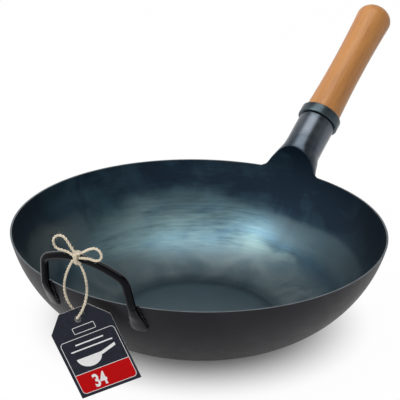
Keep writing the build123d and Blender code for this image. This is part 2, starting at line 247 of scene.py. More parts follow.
class Value:
    """Number that varies over a surface. Sums and products of values add Math nodes."""

    def __init__(self, nodes, socket):
        self.nodes = nodes
        self.socket = socket

    def math(self, operation, *others, clamp=False):
        settings = {"operation": operation, "use_clamp": clamp}
        return Value(self.nodes, self.nodes.node("ShaderNodeMath", settings, self, *others))

    __add__ = __radd__ = partialmethod(math, "ADD")
    __sub__ = partialmethod(math, "SUBTRACT")
    __mul__ = __rmul__ = partialmethod(math, "MULTIPLY")
    __truediv__ = partialmethod(math, "DIVIDE")
    __pow__ = partialmethod(math, "POWER")

    def __rsub__(self, other):
        return (self * -1) + other

    def clamped(self):
        return self.math("ADD", 0.0, clamp=True)

    def between(self, low, high):
        """0 below low, 1 above high, and a smooth step from one to the other."""
        settings = {"interpolation_type": "SMOOTHSTEP"}
        node = self.nodes.node("ShaderNodeMapRange", settings, self, low, high, 0.0, 1.0)
        return Value(self.nodes, node)

    def window(self, rise, fall):
        """1 from the end of rise to the start of fall, and 0 outside both."""
        return self.between(*rise) * (1 - self.between(*fall))


class Nodes:
    """Node tree under construction, whose nodes all come from one method."""

    def __init__(self, tree):
        self.tree = tree
        tree.nodes.clear()

    def node(self, kind, settings, *inputs, **named):
        """Add a node: its settings first, then the values or links of its sockets."""
        node = self.tree.nodes.new(kind)
        for label, value in settings.items():
            setattr(node, label, value)
        for key, value in [*enumerate(inputs), *named.items()]:
            if value is not None:
                self.feed(node, key, value)
        return node

    def feed(self, node, key, value):
        """Link a value, or a node's first output, to a socket, or set a number there."""
        if isinstance(key, str):
            names = [socket.name.lower() for socket in node.inputs]
            key = names.index(key.replace("_", " ").lower())
        socket = node.inputs[key]
        if isinstance(value, Value):
            value = value.socket
        if isinstance(value, bpy.types.Node):
            value = value.outputs[0]
        if isinstance(value, bpy.types.NodeSocket):
            self.tree.links.new(value, socket)
        else:
            socket.default_value = value

    def vector(self, x, y, z):
        return self.node("ShaderNodeCombineXYZ", {}, x, y, z)

    def axes(self, vector):
        node = self.node("ShaderNodeSeparateXYZ", {}, vector)
        return [Value(self, socket) for socket in node.outputs]

    def vectors(self, operation, *inputs, **named):
        """Vector Math node."""
        return self.node("ShaderNodeVectorMath", {"operation": operation}, *inputs, **named)

    def noise(self, source, scale, detail=3.0, roughness=0.5, distortion=0.0):
        node = self.node(
            "ShaderNodeTexNoise", {}, source,
            scale=scale, detail=detail, roughness=roughness, distortion=distortion,
        )
        return Value(self, node)

    def seen(self):
        """1 for what the camera sees, and what gloss and glass show; 0 for plain light."""
        path = self.node("ShaderNodeLightPath", {})
        kinds = ("Is Camera Ray", "Is Glossy Ray", "Is Transmission Ray")
        camera, glossy, through = (Value(self, path.outputs[kind]) for kind in kinds)
        return (camera + glossy + through).clamped()


class Finish(Nodes):
    """Material with one main shader."""

    def __init__(self, name, **constants):
        self.material = bpy.data.materials.new(name)
        self.material.use_nodes = True
        super().__init__(self.material.node_tree)
        self.shader = self.node("ShaderNodeBsdfPrincipled", {}, **constants)
        self.output = self.node("ShaderNodeOutputMaterial", {}, self.shader)
        self.place = self.node("ShaderNodeTexCoord", {}).outputs["Object"]

    def moved(self, scale=(1, 1, 1), turn=(0, 0, 0), source=None):
        """Object coordinates turned and stretched by a Mapping node."""
        return self.node("ShaderNodeMapping", {}, source or self.place, None, turn, scale)

    def blend(self, share, first, second):
        """Colour that goes from the first to the second as share goes from 0 to 1."""
        first, second = (
            value if isinstance(value, bpy.types.NodeSocket) else (*value, 1.0)
            for value in (first, second)
        )
        settings = {"data_type": "RGBA", "clamp_factor": True}
        unused = [None] * 5
        return self.node("ShaderNodeMix", settings, share, *unused, first, second).outputs[2]

    def set(self, label, value):
        """Feed a socket of the shader by a varying value or colour."""
        self.feed(self.shader, label, value)

    def bump(self, height, strength, depth):
        """Raise the surface by a varying height, over depth metres."""
        named = {"strength": strength, "distance": depth, "height": height}
        self.set("Normal", self.node("ShaderNodeBump", {}, **named))

    def grain(self, scale, strength, detail=2.0, roughness=0.5, depth=0.0002):
        """Raise the surface by a fine noise."""
        self.bump(self.noise(self.place, scale, detail, roughness), strength, depth)


class Recipe(Nodes):
    """Geometry Nodes tree with named inputs, which turns lines into a plain mesh."""

    def __init__(self, name, lengths, **others):
        super().__init__(bpy.data.node_groups.new(name, "GeometryNodeTree"))
        sockets = self.tree.interface
        sockets.new_socket("Geometry", in_out="OUTPUT", socket_type="NodeSocketGeometry")
        kinds = {"Geometry": "Geometry", **dict.fromkeys(lengths, "Float"), **others}
        for label, kind in {**kinds, "Finish": "Material"}.items():
            socket = sockets.new_socket(label, in_out="INPUT", socket_type="NodeSocket" + kind)
            if label in lengths:
                socket.subtype = "DISTANCE"
        self.entry = self.node("NodeGroupInput", {})

    def __getitem__(self, label):
        return Value(self, self.entry.outputs[label])

    def line(self, step):
        """The lines that come in, as curves with points a steady distance apart."""
        curve = self.node("GeometryNodeMeshToCurve", {}, self.entry)
        return self.node("GeometryNodeResampleCurve", {"mode": "LENGTH"}, curve, length=step)

    def chance(self, low, high, seed, kind="FLOAT"):
        """Random number or vector for each point, from a fixed seed."""
        node = self.node("FunctionNodeRandomValue", {"data_type": kind}, seed=seed)
        place = ("FLOAT_VECTOR", "FLOAT").index(kind)
        node.inputs[2 * place].default_value = low
        node.inputs[2 * place + 1].default_value = high
        return node.outputs[place]

    def close(self, geometry):
        """Make instances real, give them their finish and end the tree."""
        whole = self.node("GeometryNodeRealizeInstances", {}, geometry)
        smooth = self.node("GeometryNodeSetShadeSmooth", {}, whole)
        dressed = self.node("GeometryNodeSetMaterial", {}, smooth, material=self["Finish"])
        self.node("NodeGroupOutput", {}, dressed)
        return self

    def make(self, name, lines, values, finish):
        """Run the tree on lines of points, and keep the result as a plain mesh."""
        points, edges = [], []
        for line in lines:
            first = len(points)
            points += [tuple(point) for point in line]
            edges += [(place, place + 1) for place in range(first, len(points) - 1)]
        mesh = bpy.data.meshes.new("line")
        mesh.from_pydata(points, edges, [])
        piece = linked(name, mesh)
        change = piece.modifiers.new("recipe", "NODES")
        change.node_group = self.tree
        for item in self.tree.interface.items_tree:
            value = {**values, "Finish": finish}.get(item.name)
            if item.in_out == "INPUT" and value is not None:
                change[item.identifier] = value
        made = plain_mesh(piece)
        piece.modifiers.clear()
        piece.data = made
        bpy.data.meshes.remove(mesh)
        return piece


def skin(rings, close_round=True, caps=True):
    """Mesh through rings of as many points each, as vertices and faces."""
    across = len(rings[0])
    vertices = [point for ring in rings for point in ring]
    faces = []
    for low in range(0, len(vertices) - across, across):
        high = low + across
        for column in range(across if close_round else across - 1):
            after = (column + 1) % across
            faces.append((low + column, low + after, high + after, high + column))
    if caps:
        faces.append(tuple(reversed(range(across))))
        faces.append(tuple(range(len(vertices) - across, len(vertices))))
    return vertices, faces


def solid(name, vertices, faces, smooth_angle=35.0):
    """Object from vertices and faces, its doubles merged and its faces turned outwards."""
    mesh = bpy.data.meshes.new(name)
    mesh.from_pydata([tuple(point) for point in vertices], [], faces)
    work = bmesh.new()
    work.from_mesh(mesh)
    bmesh.ops.remove_doubles(work, verts=work.verts, dist=0.002 * MM)
    bmesh.ops.recalc_face_normals(work, faces=work.faces)
    work.to_mesh(mesh)
    work.free()
    mesh.shade_smooth()
    mesh.set_sharp_from_angle(angle=math.radians(smooth_angle))
    return linked(name, mesh)


def turned(profile, steps, about):
    """Rings of a profile of (radius, height) turned about the upright, then moved."""
    spins = [math.tau * step / steps for step in range(steps)]
    return [
        [about @ Vector((radius * math.cos(spin), radius * math.sin(spin), height))
         for radius, height in profile]
        for spin in spins
    ]


def revolved(name, profile, steps=ROUND_STEPS, about=Matrix.Identity(4)):
    """Solid of revolution; the profile starts and ends on the axis."""
    rings = turned(profile, steps, about)
    return solid(name, *skin([*rings, rings[0]], close_round=False, caps=False))


def combined(target, tool, operation):
    """Cut, join or intersect the target with the tool, and delete the tool."""
    change = target.modifiers.new("change", "BOOLEAN")
    change.operation = operation
    change.object = tool
    change.solver = "MANIFOLD"
    mesh = plain_mesh(target)
    target.modifiers.clear()
    old, target.data = target.data, mesh
    bpy.data.meshes.remove(old)
    bpy.data.objects.remove(tool)


def smooth_through(points, share):
    """Smooth curve through evenly numbered points, each a tuple of numbers."""
    place = share * (len(points) - 1)
    start = min(int(place), len(points) - 2)
    t = place - start
    before = points[max(start - 1, 0)]
    near, far = points[start], points[start + 1]
    after = points[min(start + 2, len(points) - 1)]
    result = []
    for a, b, c, d in zip(before, near, far, after):
        slope_near, slope_far = (c - a) / 2, (d - b) / 2
        result.append(
            (2 * t**3 - 3 * t**2 + 1) * b + (t**3 - 2 * t**2 + t) * slope_near
            + (3 * t**2 - 2 * t**3) * c + (t**3 - t**2) * slope_far
        )
    return tuple(result)


def paint(piece, *finishes):
    """Give a piece its finishes, the first of them on all of its faces."""
    piece.data.materials.clear()
    for finish in finishes:
        piece.data.materials.append(finish)


def dress(piece, body, slot, replaced, *finishes):
    """Give a piece its finishes and set it on its body, in place of a node if one is named."""
    paint(piece, *finishes)
    if replaced:
        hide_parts(replaced)
    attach(piece, body)


def handle_frame():
    """Root, direction and upward normal of the long handle's line."""
    pan = sizes("wok_pan")
    root = Vector((pan.rim_radius, 0, pan.height + pan.root_up))
    run = Vector((math.cos(pan.rise), 0, math.sin(pan.rise)))
    return root, run, Vector((-run.z, 0, run.x))


def floor_finish(tint, glow_near, glow_far):
    """Pale floor: a share of it glows white where it is seen, and the rest takes the shadow."""
    constants = {"base_color": (tint, tint, tint, 1.0), "roughness": 0.9, "specular_ior_level": 0.0}
    finish = Finish("pale_floor", **constants)
    light = finish.node("ShaderNodeEmission", {}, WHITE, 1.0)
    x, y, _ = finish.axes(finish.place)
    away_from_base = ((x * x + y * y) ** 0.5).between(*SHADOW_FADE)
    share = finish.seen() * (away_from_base * (glow_far - glow_near) + glow_near)
    mixed = finish.node("ShaderNodeMixShader", {}, share, finish.shader, light)
    finish.feed(finish.output, 0, mixed)
    return finish.material


def studio_world(ceiling, low_fill, high_fill, bright_side):
    """White walls under a greyer ceiling where it is seen; its fill light is lower up and right."""
    world = bpy.data.worlds.new("studio")
    world.use_nodes = True
    sky = Nodes(world.node_tree)
    x, y, rise = sky.axes(sky.node("ShaderNodeTexCoord", {}).outputs["Generated"])
    side = x * bright_side.x + y * bright_side.y
    dark_side = 1 - (0 - side).clamped() * rise.between(*HORIZON) * 0.5
    bright = (1 - rise.between(*CEILING) * (1 - ceiling)) * dark_side
    shown = sky.node("ShaderNodeBackground", {}, WHITE, bright)
    fill = (low_fill - rise.clamped() * (low_fill - high_fill)) * (side * 0.6 + 1)
    even = sky.node("ShaderNodeBackground", {}, WHITE, fill)
    mix = sky.node("ShaderNodeMixShader", {}, sky.seen(), even, shown)
    sky.node("ShaderNodeOutputWorld", {}, mix)
    return world


def facing(place, across, up, back):
    """Matrix that sets an object at a place with its axes along three directions."""
    return Matrix.Translation(place) @ Matrix((across, up, back)).transposed().to_4x4()


def add_lamp(name, place, aim, along, wide, tall, brightness):
    """Soft rectangular lamp turned to what it lights; a brightness of 1 is white."""
    lamp = bpy.data.lights.new(name, "AREA")
    lamp.shape = "RECTANGLE"
    lamp.size, lamp.size_y = wide, tall
    lamp.energy = brightness * math.pi * wide * tall
    back = (place - aim).normalized()
    across = (along - back * along.dot(back)).normalized()
    linked(name, lamp).matrix_world = facing(place, across, back.cross(across), back)


def view_axes():
    """Directions right, away and up of the photographer, level with the ground."""
    right = level(math.radians(CAMERA_HEADING))
    return right, UP.cross(right), UP


def set_camera():
    """Camera at the photograph's place, slope and roll."""
    right, away, up = view_axes()
    slope, roll = math.radians(CAMERA_SLOPE), math.radians(CAMERA_ROLL)
    ahead = away * math.cos(slope) - up * math.sin(slope)
    above = right.cross(ahead)
    image_right = right * math.cos(roll) + above * math.sin(roll)
    image_up = above * math.cos(roll) - right * math.sin(roll)
    shift_right, shift_down = (
        (pixel - PICTURE_MIDDLE) * CAMERA_DISTANCE / CAMERA_FOCUS_PIXELS
        for pixel in RIM_MIDDLE_PIXEL
    )
    aim = Vector((0, 0, sizes("wok_pan").height))
    place = aim - ahead * CAMERA_DISTANCE - image_right * shift_right + image_up * shift_down
    lens = bpy.data.cameras.new("camera")
    lens.lens = CAMERA_LENS
    lens.sensor_width = CAMERA_SENSOR
    holder = linked("camera", lens)
    holder.matrix_world = facing(place, image_right, image_up, -ahead)
    bpy.context.scene.camera = holder


class WOK_OT_stage(bpy.types.Operator):
    """Lay the floor, hang the lamps and place the camera"""

    bl_idname = "wok.stage"
    bl_label = "Stage"

    def execute(self, context):
        scene = context.scene
        scene.view_settings.view_transform = "Standard"
        set_camera()
        far = FLOOR_HALF
        corners = [(-far, -far, 0), (far, -far, 0), (far, far, 0), (-far, far, 0)]
        floor = solid("floor", corners, [(0, 1, 2, 3)])
        floor.data.materials.append(floor_finish(tint=0.9, glow_near=0.08, glow_far=0.98))
        right, away, up = view_axes()
        scene.world = studio_world(ceiling=0.35, low_fill=1.0, high_fill=0.25, bright_side=-right)
        aim = Vector((0, 0, 0.05))
        strip = aim + up * 1.2 - right * 0.25 + away * 0.1
        add_lamp("overhead_strip", strip, aim, right, wide=1.4, tall=0.7, brightness=3.2)
        key = aim - right * 0.76 - away * 0.14 + up * 1.25
        add_lamp("key_softbox", key, aim, right, wide=0.3, tall=0.3, brightness=11.0)
        return {"FINISHED"}


def wall_centre(pan):
    """Centre of the wall's arc in its section: distance from the axis, and height."""
    run = pan.rim_radius - pan.base_radius
    chord = math.hypot(run, pan.height)
    reach = math.sqrt(pan.wall_curve**2 - (chord / 2) ** 2)
    out = (pan.rim_radius + pan.base_radius) / 2 - reach * pan.height / chord
    return out, pan.height / 2 + reach * run / chord


def wall_arc(pan, inset, high, steps):
    """Profile of the wall, or of a skin inside it, from the flat base's edge up to a height."""
    centre_out, centre_up = wall_centre(pan)
    reach, bend = pan.wall_curve - inset, pan.knuckle - inset
    fall = centre_up - pan.knuckle
    bend_out = centre_out + math.sqrt((reach - bend) ** 2 - fall**2)
    lean = math.degrees(math.atan2(bend_out - centre_out, fall)) - 90
    end = math.degrees(math.acos((centre_up - high) / reach)) - 90
    points = arc_points((bend_out, pan.knuckle), bend, -90, lean, 6)
    return points + arc_points((centre_out, centre_up), reach, lean, end, steps)[1:]


def inside_wall(name, pan, inset, high, steps):
    """Solid of all that lies inside the wall or inside a skin within it."""
    arc = wall_arc(pan, inset, high, steps)
    floor = [(arc[0][0] * share, inset) for share in (0, 0.3, 0.6, 0.85)]
    return revolved(name, [*floor, *arc, (0, high)])


# Along the socket's root: distance from the rim and half width, as shares of the tube's radius
FLARE_SHARES = (
    (-0.50, 2.08), (-0.22, 1.72), (-0.05, 1.46), (0.28, 1.325), (0.67, 1.205), (1.10, 1.055),
    (1.45, 1.01), (1.75, 1.0), (2.0, 1.0),
)
FLARE_STEPS = 72
SOCKET_SIDES = 128


def socket_solid(name, pan, inset, overrun):
    """Filled socket, drawn in by a skin: its root flares, and the rest is a round tube."""
    root, run, up = handle_frame()
    radius = pan.tube_radius
    inner = radius - inset

    def ring(centre, half_width):
        return ellipse_ring(centre, Vector((0, 1, 0)), up, half_width, inner, SOCKET_SIDES, 0.5)

    flare = [smooth_through(FLARE_SHARES, step / FLARE_STEPS) for step in range(FLARE_STEPS + 1)]
    rings = []
    for before, (along, wide), after in zip([flare[0], *flare], flare, [*flare[1:], flare[-1]]):
        slope = (after[1] - before[1]) / (after[0] - before[0])
        half_width = wide * radius - inset * math.sqrt(1 + slope**2)
        rings.append(ring(root + run * along * radius, half_width))
    start, end = FLARE_SHARES[-1][0] * radius, pan.tube_length + overrun
    for step in range(1, 13):
        rings.append(ring(root + run * (start + (end - start) * step / 12), inner))
    return solid(name, *skin(rings))


def lip_cutter(pan):
    """All that lies under the plate's two lips, between the rim and the seam."""
    root, run, up = handle_frame()
    overrun, crown = 40 * MM, 5.4 * MM
    seam = root + run * pan.seam_start - up * pan.tube_radius
    start = Vector((pan.rim_radius + 1.2 * MM, 0, pan.height))
    outline = []
    for step in range(25):
        share = step / 24
        outline.append(start + (seam - start) * share + UP * crown * (4 * share * (1 - share)))
    floor, back = pan.height - overrun, pan.rim_radius - overrun
    outline += [Vector((x, 0, z)) for x, z in ((seam.x, floor), (back, floor), (back, pan.height))]
    rings = [[point + Vector((0, side * overrun, 0)) for point in outline] for side in (-1, 1)]
    return solid("lips", *skin(rings))


def under(height, reach):
    """Wide box that ends at a height, used only to cut."""
    sides = ((-reach, -reach), (reach, -reach), (reach, reach), (-reach, reach))
    return solid("under", *skin([[(x, y, z) for x, y in sides] for z in (-reach, height)]))


class WOK_OT_pan(bpy.types.Operator):
    """Press the bowl and roll its tongue into the handle's socket"""

    bl_idname = "wok.pan"
    bl_label = "Pan"

    def execute(self, context):
        pan = sizes("wok_pan")
        top = pan.height + 35 * MM
        steps, high_steps = 56, 80
        piece = socket_solid("pan_steel", pan, 0, 0)
        combined(piece, lip_cutter(pan), "DIFFERENCE")
        combined(piece, inside_wall("blank", pan, 0, pan.height, steps), "UNION")
        combined(piece, inside_wall("space", pan, pan.plate, top, high_steps), "DIFFERENCE")
        hollow = socket_solid("hollow", pan, pan.plate, pan.plate)
        combined(hollow, inside_wall("back", pan, 0, top, high_steps), "DIFFERENCE")
        combined(hollow, under(pan.height, 2 * pan.rim_radius), "DIFFERENCE")
        combined(piece, hollow, "DIFFERENCE")
        edge = steel_finish("ground_edge", sizes("wok_colours").rim_edge, 0.35)
        dress(piece, "wok", "blued_steel", "pan", outside_finish(pan), inside_finish(pan), edge)
        centre_out, centre_up = wall_centre(pan)
        middle = pan.wall_curve - pan.plate / 2
        for face in piece.data.polygons:
            x, y, z = face.center
            out = math.hypot(x, y)
            if abs(face.normal.z) > 0.99 and z > pan.height - 0.1 * MM:
                face.material_index = 2
            elif out < pan.base_radius:
                face.material_index = int(z > pan.plate / 2)
            else:
                face.material_index = int(math.hypot(out - centre_out, z - centre_up) < middle)
        piece.data.shade_smooth()
        piece.data.set_sharp_from_angle(angle=math.radians(30))
        return {"FINISHED"}


# Zones of the inside's colour: shares of the way to the far, left and right side, heights above the
# base, and distances from the axis, in metres; each is where a change starts and ends. The far
# side, across the bowl from the camera, is lighter and holds the pale band: blueing with a painted
# highlight.
# On the right side lie painted shade near the top and a painted sheen below it, and the shade ring
# is painted shade where the wall meets the base
FAR_SIDE = (0.85, 0.52)
FAR_ZONE = (0.25, 0.92)
RIGHT_ZONE = (0.35, 0.60)
RIGHT_EDGE = (0.046, 0.052)
RIM_FADE = (0.044, 0.070)
BAND_RISE, BAND_FALL = (0.008, 0.024), (0.034, 0.064)
BAND_RIGHT_END = (0.38, 0.60)
LIFT_RISE, LIFT_FALL = (-0.45, 0.15), (0.45, 0.70)
PATCH_SIDE, PATCH_FALL = (0.3, 0.7), (0.068, 0.080)
TOP_RISE, TOP_FALL, TOP_HEIGHT = (-0.1, 0.0), (0.30, 0.45), (0.05, 0.06)
# Heights where the painted sheen on the lower right wall starts
PAINTED_SHEEN_RISE = (0.022, 0.034)
VEIL_SIDE, VEIL_RISE, VEIL_FALL = (0.55, 0.95), (0.024, 0.044), (0.056, 0.074)
FOOT_FALL = (0.010, 0.026)
SHADE_RISE, SHADE_FALL = (0.060, 0.072), (0.076, 0.088)
FLAT_BLUR = 0.012


def inside_finish(pan):
    """Heat-blued plate: polished streaks round the bowl, dark near the rim, pale half way up. The
    wall across from the camera is lighter and holds the pale band, partly a painted highlight; the
    upper right wall has painted shade with a painted sheen below, and a painted shade ring lies at
    the base's edge.
    """
    hue = sizes("wok_colours")
    finish = Finish("blued_inside", metallic=1.0)
    x, y, z = finish.axes(finish.place)
    out = (x * x + y * y) ** 0.5 + 0.0001
    across, beside = x / out, y / out

    def ringed(stretch, rows, *noise):
        rows_up = (out + z) * rows
        source = finish.vector(across * stretch, beside * stretch, rows_up)
        return finish.noise(source, *noise)

    clouds = finish.noise(finish.place, 8.5, 4.0, 0.55, 0.8)
    streaks = ringed(1.0, 14.0, 1.5, 5.0, 0.62, 0.5)
    brushed = ringed(3.5, 230.0, 1.3, 5.0, 0.65)
    hues = ringed(1.2, 12.0, 1.7, 4.0, 0.55, 0.8)
    smoke = finish.noise(finish.place, 17.0, 4.0, 0.55, 1.6)
    mottle = clouds * 0.4 + streaks * 0.33 + brushed * 0.27

    # far: share of the wall across the bowl from the camera, where the colour is lifted and the
    # pale band lies, a painted highlight over the blueing
    far = (across * FAR_SIDE[0] + beside * FAR_SIDE[1]).between(*FAR_ZONE)
    aside = beside * FAR_SIDE[0] - across * FAR_SIDE[1]
    # right: the wall on the camera's right; edge: its upper part, which is darkened below as
    # painted shade
    right = (0 - aside).between(*RIGHT_ZONE)
    drift = z + (clouds - 0.5) * 0.05
    edge = (z + (clouds - 0.5) * 0.012).between(*RIGHT_EDGE)
    body = (1 - drift.between(*RIM_FADE)) * 0.55 + (mottle - 0.5) * 2.0 + (smoke - 0.5) * 1.9
    left_patch = aside.between(*PATCH_SIDE) * (1 - z.between(*PATCH_FALL)) * 0.45
    top_patch = aside.window(TOP_RISE, TOP_FALL) * z.between(*TOP_HEIGHT) * 0.15
    # right * edge darkens the upper right wall: painted shade
    body = body + left_patch + top_patch - right * edge * 0.2
    # The colour is lifted on the far wall: painted highlight
    body = (body * (far * 0.5 + 0.5) + 0.1).clamped()
    base = finish.blend(body, hue.blued_dark, hue.blued_mid)
    # The pale band, shaped by lift and faded towards the right, is blueing with a painted highlight
    # on the far wall
    lift = aside.window(LIFT_RISE, LIFT_FALL) * 0.011 - 0.006
    band = z.between(*BAND_RISE) * (1 - (drift - lift).between(*BAND_FALL))
    right_end = 1 - (0 - aside).between(*BAND_RIGHT_END) * 0.85
    base = finish.blend(band * mottle.between(0.30, 0.62) * far * right_end, base, hue.blued_pale_highlight)
    # Lighter grey on the lower right wall, under the painted shade: a painted sheen, not wear
    wear_and_painted_sheen = right * z.between(*PAINTED_SHEEN_RISE) * (1 - edge) * 0.3
    base = finish.blend(wear_and_painted_sheen, base, hue.blued_grey_and_sheen)
    blue = band * (1 - hues.between(0.36, 0.52)) * far * 0.3
    base = finish.blend(blue, base, hue.blued_blue)
    base = finish.blend(band * hues.between(0.50, 0.66) * far * 0.3, base, hue.blued_warm)
    veil = aside.between(*VEIL_SIDE) * z.between(*VEIL_RISE) * (1 - drift.between(*VEIL_FALL))
    base = finish.blend(veil * smoke.between(0.30, 0.55) * 0.8, base, hue.blued_grey_and_sheen)
    foot = (1 - z.between(*FOOT_FALL)) * (hues.between(0.3, 0.7) * 0.6 + 0.4)
    base = finish.blend(foot, base, hue.blued_grey_and_sheen)
    flat = 1 - out.between(pan.base_radius - FLAT_BLUR, pan.base_radius + FLAT_BLUR)
    base = finish.blend(flat * (mottle * 0.5 + 0.6), base, hue.blued_floor)
    ring_shade = out.window(SHADE_RISE, SHADE_FALL) * 0.5
    finish.set("Base Color", finish.blend(ring_shade, base, hue.blued_dark))

    finish.set("Roughness", streaks * 0.12 + brushed * 0.14 + 0.27)
    grain = finish.noise(finish.place, 1400.0, 2.0, 0.5)
    finish.bump(brushed * 0.7 + grain * 0.3, 0.10, 0.0003)
    return finish.material


def outside_finish(pan):
    """Outside of the plate: neutral dark grey on the bowl, blue-black and rubbed on the socket."""
    hue = sizes("wok_colours")
    finish = Finish("blued_outside", metallic=1.0)
    x = finish.axes(finish.place)[0]
    cloud = finish.noise(finish.place, 9.0, 4.0, 0.55, 0.4)
    fine = finish.noise(finish.place, 90.0, 4.0, 0.6)
    share = cloud.between(0.35, 0.7) * 0.4 + fine * 0.2
    bowl = finish.blend(share, hue.outside, shade(hue.outside, 1.6))
    tube = x.between(pan.rim_radius - 0.002, pan.rim_radius + 0.006)
    wear_and_painted_sheen = finish.noise(finish.place, 42.0, 4.0, 0.6, 0.5)
    steel = finish.blend(wear_and_painted_sheen.between(0.3, 0.7), hue.tube_dark, hue.tube_pale)
    finish.set("Base Color", finish.blend(tube, bowl, steel))
    finish.set("Roughness", 0.44 + fine * 0.14 - tube * 0.22)
    finish.grain(1300.0, 0.12)
    return finish.material


def steel_finish(name, tint, rough, grain_scale=600.0, grain=0.15):
    """Bare or blued steel with a fine grain and cloudy wear."""
    finish = Finish(name, metallic=1.0)
    cloud = finish.noise(finish.place, 60.0, 4.0, 0.6)
    finish.set("Base Color", finish.blend(cloud.between(0.3, 0.75), tint, shade(tint, 1.7)))
    finish.set("Roughness", cloud * 0.2 + (rough - 0.1))
    finish.grain(grain_scale, grain)
    return finish.material


def rod_finish():
    """Scaled rod: black and glossy on the loop, greyer and duller on the hammered ends."""
    hue = sizes("wok_colours")
    finish = Finish("rod_black", metallic=1.0)
    height = finish.axes(finish.place)[2].between(0.080, 0.096)
    cloud = finish.noise(finish.place, 60.0, 4.0, 0.6)
    ends = finish.blend(cloud.between(0.3, 0.75), hue.rod_ends, hue.rod_worn)
    finish.set("Base Color", finish.blend(height, ends, hue.rod_loop))
    finish.set("Roughness", cloud * 0.14 + 0.28 - height * 0.18)
    finish.grain(600.0, 0.12)
    return finish.material


def wood_finish():
    """Turned hardwood: fine grain along the grip, with darker lines and pores."""
    hue = sizes("wok_colours")
    finish = Finish("turned_wood", specular_ior_level=0.35, coat_weight=0.12, coat_roughness=0.3)
    level_place = finish.moved(turn=(0, sizes("wok_pan").rise, 0))

    def along(scale, wide, *noise):
        stretched = finish.moved(scale=(scale, wide, wide), source=level_place)
        return finish.noise(stretched, 1.0, *noise)

    wave = along(6, 60, 3.0, 0.5, 1.2)
    fibre = along(22, 260, 3.0, 0.6, 0.2)
    pores = along(70, 800, 2.0, 0.5)
    share = wave.between(0.35, 0.72) * 0.45 + fibre.between(0.4, 0.7) * 0.35
    base = finish.blend(share, hue.wood_light, hue.wood_dark)
    pored = finish.blend(pores.between(0.58, 0.76) * 0.3, base, shade(hue.wood_dark, 0.8))
    finish.set("Base Color", pored)
    finish.set("Roughness", fibre * 0.15 + 0.36)
    finish.bump(fibre * 0.6 + pores * 0.4, 0.15, 0.0002)
    return finish.material


def handle_matrix():
    """Moves a solid turned about the upright on to the handle's line."""
    root, run, up = handle_frame()
    return facing(root, up.cross(run), up, run)


def arc_points(centre, radius, first, last, steps):
    """Points of an arc in a profile, in degrees."""
    turns = [math.radians(first + (last - first) * step / steps) for step in range(steps + 1)]
    x, y = centre
    return [(x + radius * math.cos(turn), y + radius * math.sin(turn)) for turn in turns]


class WOK_OT_grip(bpy.types.Operator):
    """Turn the wooden grip and its steel collar"""

    bl_idname = "wok.grip"
    bl_label = "Grip"

    def execute(self, context):
        size = sizes("wok_grip")
        hue = sizes("wok_colours")
        about = handle_matrix()
        end = size.collar_start + size.collar_length
        rings = turned(self.collar_profile(size, end), GRIP_STEPS, about)
        collar = solid("collar_steel", *skin([*rings, rings[0]], caps=False), smooth_angle=40)
        blued = steel_finish("collar_blue", hue.collar, 0.33)
        dress(collar, "collar", "collar_steel", "grip_collar", blued)
        grip = revolved("grip_wood", self.grip_profile(size, end), GRIP_STEPS, about)
        dress(grip, "wooden_grip", "wood", "grip", wood_finish())
        bare = steel_finish("bare_steel", hue.bare_steel, 0.35)
        for name in ("grip_stud", "socket_plug"):
            paint(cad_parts[name], bare)
        return {"FINISHED"}

    def collar_profile(self, size, end):
        """Profile of the collar, a cup with a bore for the stud and a seat for the wood."""
        start, outer = size.collar_start, size.collar_radius
        edge, bore = 0.9 * MM, 6.2 * MM
        seat, seat_radius = end - 1.2 * MM, size.neck + 0.25 * MM
        return [
            (bore, start),
            *arc_points((outer - edge, start + edge), edge, -90, 0, 6),
            *arc_points((outer - edge, end - edge), edge, 0, 90, 6),
            (seat_radius, end), (seat_radius, seat), (bore, seat),
        ]

    def grip_profile(self, size, end):
        """Profile of the wood: a soft shoulder, a slim waist and a domed end."""
        shoulder = end + 0.05 * MM
        dome_start = end + size.grip_length - size.dome
        soft = 0.8 * MM
        start, inner = shoulder + soft, size.neck - soft
        profile = [(0, shoulder), (inner, shoulder), *arc_points((inner, start), soft, -90, -10, 5)]
        for step in range(1, 49):
            station = start + (dome_start - shoulder - soft) * step / 48
            share = (station - shoulder) / (dome_start - shoulder)
            straight = size.neck + (size.head - size.neck) * share
            dip = (size.neck + size.head) / 2 - size.waist
            profile.append((straight - dip * (4 * share * (1 - share)), station))
        for step in range(1, 25):
            turn = math.pi / 2 * step / 24
            profile.append((size.head * math.cos(turn), dome_start + size.dome * math.sin(turn)))
        return profile


def wall_place(side, distance, lift):
    """Point on the wall below a leg's foot, with directions along the rim, off and down."""
    pan, loop = sizes("wok_pan"), sizes("wok_loop")
    centre_out, centre_up = wall_centre(pan)
    stand = pan.rim_radius + loop.rod_radius + 0.1 * MM
    turn = math.asin((pan.height - centre_up) / pan.wall_curve) - distance / pan.wall_curve
    spread = math.asin(loop.foot_half / stand) + PADDLE_SPLAY * distance / stand
    outward = level(math.pi + loop.turn - side * spread)
    along = outward.cross(UP)
    normal = outward * math.cos(turn) + UP * math.sin(turn)
    down = outward * math.sin(turn) - UP * math.cos(turn) + along * side * PADDLE_SPLAY
    place = outward * centre_out + UP * centre_up + normal * (pan.wall_curve + lift)
    return place, along, normal, down.normalized()


def loop_frame():
    """Origin, across and up directions of the rod loop's plane."""
    pan, loop = sizes("wok_pan"), sizes("wok_loop")
    out = level(math.pi + loop.turn)
    stand = pan.rim_radius + loop.rod_radius + 0.1 * MM
    origin = out * math.sqrt(stand**2 - loop.foot_half**2) + UP * pan.height
    return origin, out.cross(UP), out * math.cos(loop.rise) + UP * math.sin(loop.rise)


